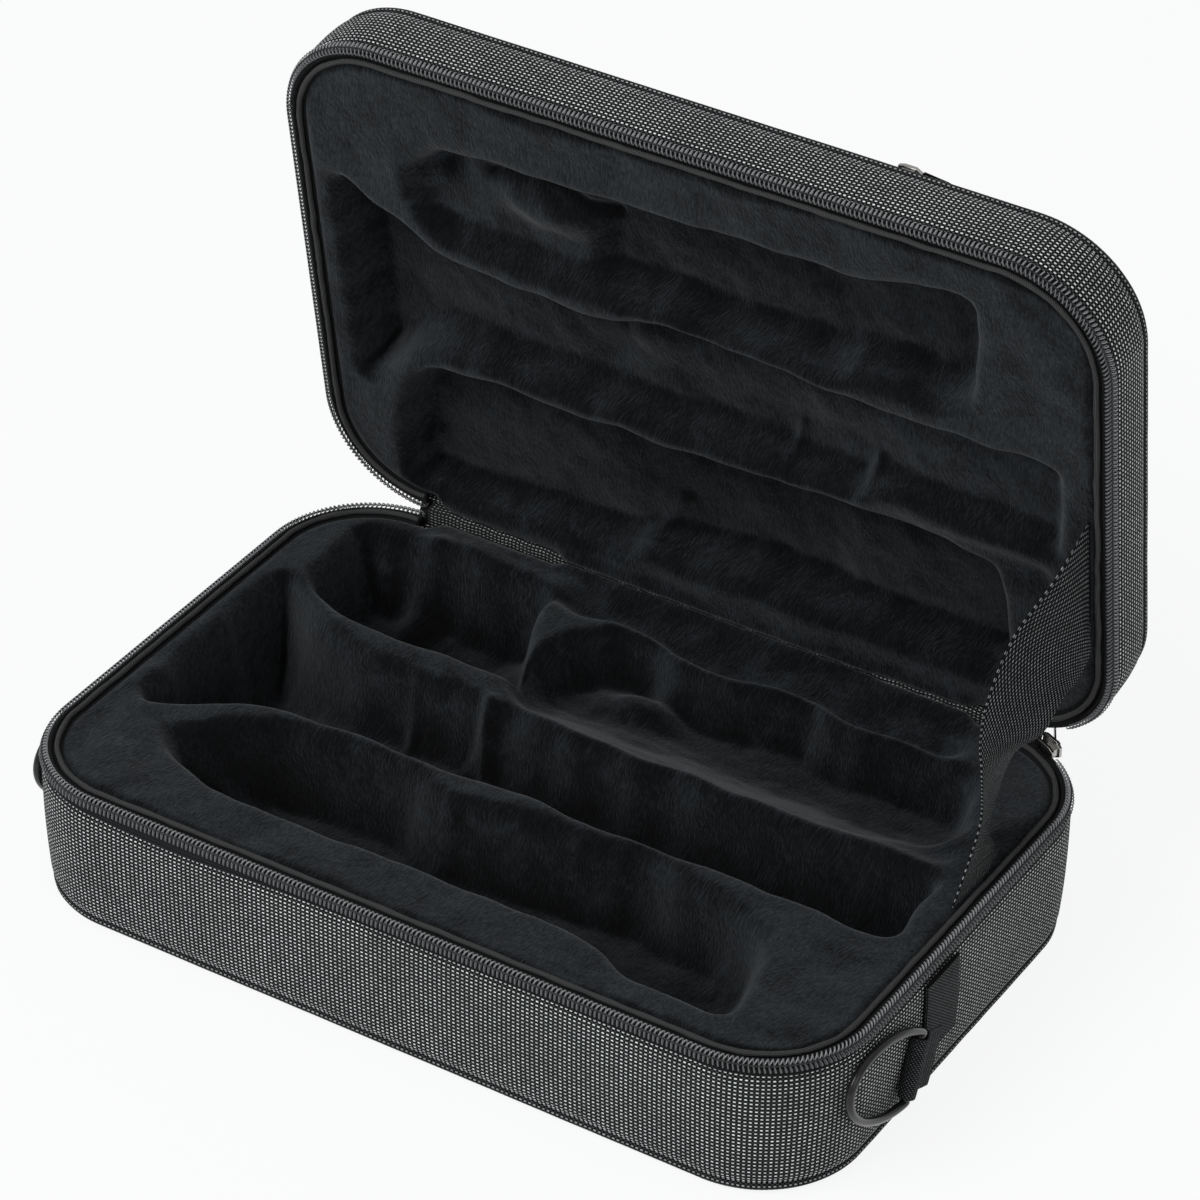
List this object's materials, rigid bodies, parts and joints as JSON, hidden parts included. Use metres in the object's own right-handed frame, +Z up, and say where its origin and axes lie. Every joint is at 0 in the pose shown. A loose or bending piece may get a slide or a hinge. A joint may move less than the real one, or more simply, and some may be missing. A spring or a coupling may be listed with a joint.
{
  "type": "clarinet case",
  "caption": "Soft zippered clarinet case that stands open, with moulded plush trays, a cloth hinge, a stay strap, a lid pocket, end D-rings and a carry handle.",
  "frame": {"origin": "centre of the base's flat underside", "axes": "+X along the long side to the end with the stay strap, +Y from the front to the hinge, +Z up"},
  "size_m": [0.3742, 0.2714, 0.2975],
  "materials": {
    "woven_cloth": "coarse woven cloth with pale flecks",
    "plush": "short black pile",
    "foam": "moulded foam",
    "nylon_tape": "woven tape",
    "coil": "satin",
    "webbing": "woven webbing",
    "nickel": "plated",
    "black_metal": "gloss black",
    "moulded_plastic": "fine texture"
  },
  "bodies": {
    "base": {"base_bottom_panel": "woven_cloth", "base_bottom_piping": "woven_cloth", "base_side_wall": "woven_cloth", "base_zipper_tape": "nylon_tape", "base_zipper_coil": "coil", "base_edge_binding": "nylon_tape", "base_foam_core": "foam", "base_plush_liner": "plush", "hinge_fabric": "woven_cloth", "stay_strap": "webbing", "main_slider": "nickel", "right_d_ring_tab": "webbing", "left_d_ring_tab": "webbing", "handle_lug_right": "moulded_plastic", "handle_lug_left": "moulded_plastic"},
    "lid": {"lid_outer_panel": "woven_cloth", "lid_outer_piping": "woven_cloth", "lid_side_wall": "woven_cloth", "lid_zipper_tape": "nylon_tape", "lid_zipper_coil": "coil", "lid_edge_binding": "nylon_tape", "lid_foam_core": "foam", "lid_plush_liner": "plush", "pocket_panel": "woven_cloth", "pocket_piping": "woven_cloth", "pocket_zipper_tape": "nylon_tape", "pocket_zipper_coil": "coil"},
    "pocket_slider": {"pocket_slider": "nickel"},
    "pocket_pull": {"pocket_slider_pull": "webbing"},
    "main_pull": {"main_slider_pull": "nickel"},
    "right_ring": {"right_d_ring": "black_metal"},
    "left_ring": {"left_d_ring": "black_metal"},
    "handle": {"carry_handle": "moulded_plastic"}
  },
  "joints": [
    {"name": "lid_hinge", "type": "hinge", "parent": "base", "child": "lid", "pos_m": [0, 0.1149, 0.0657], "axis": [1, 0, 0], "range_deg": [-9, 81], "deforming": ["hinge_fabric", "stay_strap"]},
    {"name": "right_ring_swing", "type": "hinge", "parent": "base", "child": "right_ring", "pos_m": [0.1837, -0.0446, 0.0272], "axis": [0, 0.3746, 0.9272], "range_deg": [0, 150]},
    {"name": "left_ring_swing", "type": "hinge", "parent": "base", "child": "left_ring", "pos_m": [-0.1837, -0.0446, 0.0272], "axis": [0, -0.3746, -0.9272], "range_deg": [0, 150]},
    {"name": "main_pull_swing", "type": "hinge", "parent": "base", "child": "main_pull", "pos_m": [0.15578, 0.1136, 0.0644], "axis": [0, 0, 1], "range_deg": [-145, 5]},
    {"name": "pocket_slide", "type": "slide", "parent": "lid", "child": "pocket_slider", "axis": [1, 0, 0], "range_m": [-0.19, 0.036]},
    {"name": "pocket_pull_swing", "type": "hinge", "parent": "pocket_slider", "child": "pocket_pull", "pos_m": [0.078, 0.11825, 0.2913], "axis": [0, -0.1564, 0.9877], "range_deg": [0, 170]},
    {"name": "handle_swing", "type": "hinge", "parent": "base", "child": "handle", "pos_m": [0, 0.1261, 0.044], "axis": [1, 0, 0], "range_deg": [0, 90]}
  ]
}
